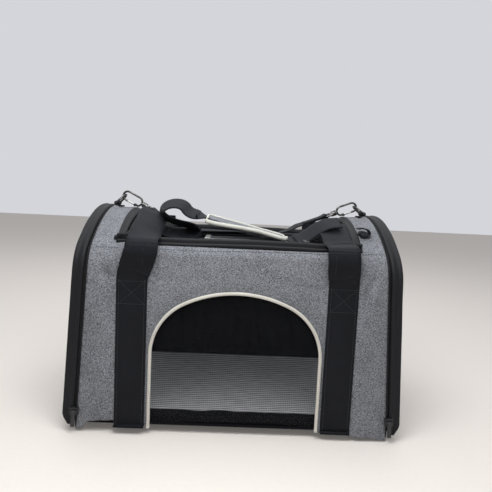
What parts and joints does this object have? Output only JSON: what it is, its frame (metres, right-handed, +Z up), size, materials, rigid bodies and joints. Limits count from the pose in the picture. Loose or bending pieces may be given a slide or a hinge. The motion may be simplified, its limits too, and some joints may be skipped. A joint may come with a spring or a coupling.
{
  "type": "pet carrier bag",
  "caption": "Soft-sided travel bag with an arched mesh window in the front, zipped arched ends, a roof hatch, webbing handles and a clip-on shoulder strap.",
  "frame": {"origin": "on the surface the bag stands on, below the middle of its bounding box", "axes": "+X along the bag, the front wall faces -Y, +Z up"},
  "size_m": [0.4374, 0.3, 0.3092],
  "materials": {
    "grey_cloth": "heathered woven cloth",
    "black_webbing": "woven webbing and binding",
    "mesh": "open mesh cloth",
    "piping": "corded piping",
    "fleece": "fleece",
    "board": "stiff board",
    "metal": "dark plated",
    "zip_coil": "moulded"
  },
  "bodies": {
    "bag": {"base_panel": "black_webbing", "base_board": "board", "fleece_pad": "fleece", "front_panel": "grey_cloth", "back_panel": "grey_cloth", "front_mesh": "mesh", "front_piping": "piping", "left_webbing": "black_webbing", "right_webbing": "black_webbing", "roof_shell": "grey_cloth", "roof_zip_tape": "black_webbing", "left_end_tape": "black_webbing", "left_zip_coil": "zip_coil", "left_hoop": "metal", "left_ring_tab": "black_webbing", "right_end_tape": "black_webbing", "right_zip_coil": "zip_coil", "right_hoop": "metal", "right_ring_tab": "black_webbing", "shoulder_strap": "black_webbing"},
    "roof_flap": {"roof_flap_mesh": "mesh", "roof_flap_binding": "black_webbing", "roof_flap_hinge": "black_webbing"},
    "left_door": {"left_door_panel": "grey_cloth", "left_door_rim": "black_webbing", "left_door_binding": "black_webbing", "left_door_mesh": "mesh", "left_door_piping": "piping", "left_door_hinge": "black_webbing"},
    "left_clip": {"left_ring": "metal", "left_eye": "metal", "left_strap_end": "black_webbing"},
    "left_hook": {"left_hook": "metal"},
    "left_gate": {"left_gate": "metal"},
    "left_slider": {"left_slider": "metal"},
    "left_pull": {"left_pull": "zip_coil"},
    "right_door": {"right_door_panel": "grey_cloth", "right_door_rim": "black_webbing", "right_door_binding": "black_webbing", "right_door_mesh": "mesh", "right_door_piping": "piping", "right_door_hinge": "black_webbing"},
    "right_clip": {"right_ring": "metal", "right_eye": "metal", "right_strap_end": "black_webbing"},
    "right_hook": {"right_hook": "metal"},
    "right_gate": {"right_gate": "metal"},
    "right_slider": {"right_slider": "metal"},
    "right_pull": {"right_pull": "zip_coil"},
    "front_handle": {"front_handle": "black_webbing", "grip_pad": "grey_cloth"},
    "grip_flap": {"grip_flap": "grey_cloth"},
    "back_handle": {"back_handle": "black_webbing"},
    "strap_adjuster": {"strap_adjuster": "zip_coil"},
    "roof_slider": {"roof_slider": "metal"},
    "roof_pull": {"roof_pull": "zip_coil"}
  },
  "joints": [
    {"name": "roof_flap_hinge", "type": "hinge", "parent": "bag", "child": "roof_flap", "pos_m": [0, 0.11298, 0.24548], "axis": [1, 0, 0], "range_deg": [0, 60]},
    {"name": "left_door_hinge", "type": "hinge", "parent": "bag", "child": "left_door", "pos_m": [-0.21467, 0, 0.00588], "axis": [0, -1, 0], "range_deg": [0, 92]},
    {"name": "left_clip_hinge", "type": "hinge", "parent": "bag", "child": "left_clip", "pos_m": [-0.18324, 0, 0.29027], "axis": [0, -1, 0], "range_deg": [0, 40]},
    {"name": "left_hook_swivel", "type": "hinge", "parent": "left_clip", "child": "left_hook", "pos_m": [-0.14795, 0, 0.2905], "axis": [0.8894, 0, -0.4571], "range_deg": [-40, 40]},
    {"name": "left_gate_hinge", "type": "hinge", "parent": "left_hook", "child": "left_gate", "pos_m": [-0.15759, 0, 0.28815], "axis": [0, 1, 0], "range_deg": [0, 22], "stiffness_Nm_per_rad": 0.01, "springref_deg": -28.65},
    {"name": "left_zip_slide", "type": "slide", "parent": "bag", "child": "left_slider", "axis": [0.0558, 0, 0.9984], "range_m": [0, 0.15]},
    {"name": "left_pull_hinge", "type": "hinge", "parent": "left_slider", "child": "left_pull", "pos_m": [-0.20205, -0.1432, 0.02921], "axis": [-0.9984, 0, 0.0558], "range_deg": [0, 120]},
    {"name": "right_door_hinge", "type": "hinge", "parent": "bag", "child": "right_door", "pos_m": [0.21467, 0, 0.00588], "axis": [0, 1, 0], "range_deg": [0, 92]},
    {"name": "right_clip_hinge", "type": "hinge", "parent": "bag", "child": "right_clip", "pos_m": [0.18324, 0, 0.29027], "axis": [0, 1, 0], "range_deg": [0, 40]},
    {"name": "right_hook_swivel", "type": "hinge", "parent": "right_clip", "child": "right_hook", "pos_m": [0.1452, 0, 0.2913], "axis": [-0.9323, 0, -0.3616], "range_deg": [-40, 40]},
    {"name": "right_gate_hinge", "type": "hinge", "parent": "right_hook", "child": "right_gate", "pos_m": [0.15454, 0, 0.28795], "axis": [0, -1, 0], "range_deg": [0, 22], "stiffness_Nm_per_rad": 0.01, "springref_deg": -28.65},
    {"name": "right_zip_slide", "type": "slide", "parent": "bag", "child": "right_slider", "axis": [-0.0558, 0, 0.9984], "range_m": [0, 0.15]},
    {"name": "right_pull_hinge", "type": "hinge", "parent": "right_slider", "child": "right_pull", "pos_m": [0.20205, -0.1432, 0.02921], "axis": [-0.9984, 0, -0.0558], "range_deg": [0, 120]},
    {"name": "front_handle_hinge", "type": "hinge", "parent": "bag", "child": "front_handle", "pos_m": [0, -0.147, 0.24801], "axis": [1, 0, 0], "range_deg": [0, 165]},
    {"name": "grip_flap_hinge", "type": "hinge", "parent": "front_handle", "child": "grip_flap", "pos_m": [0.00778, -0.0886, 0.26433], "axis": [0.9747, 0, -0.2235], "range_deg": [0, 120]},
    {"name": "back_handle_hinge", "type": "hinge", "parent": "bag", "child": "back_handle", "pos_m": [0, 0.146, 0.26651], "axis": [1, 0, 0], "range_deg": [0, 175]},
    {"name": "adjuster_slide", "type": "slide", "parent": "bag", "child": "strap_adjuster", "axis": [1, 0, 0], "range_m": [-0.015, 0.015]},
    {"name": "roof_zip_slide", "type": "slide", "parent": "bag", "child": "roof_slider", "axis": [-1, 0, 0], "range_m": [0, 0.18]},
    {"name": "roof_pull_hinge", "type": "hinge", "parent": "roof_slider", "child": "roof_pull", "pos_m": [0.085, -0.11298, 0.25468], "axis": [1, 0, 0], "range_deg": [0, 150]}
  ]
}
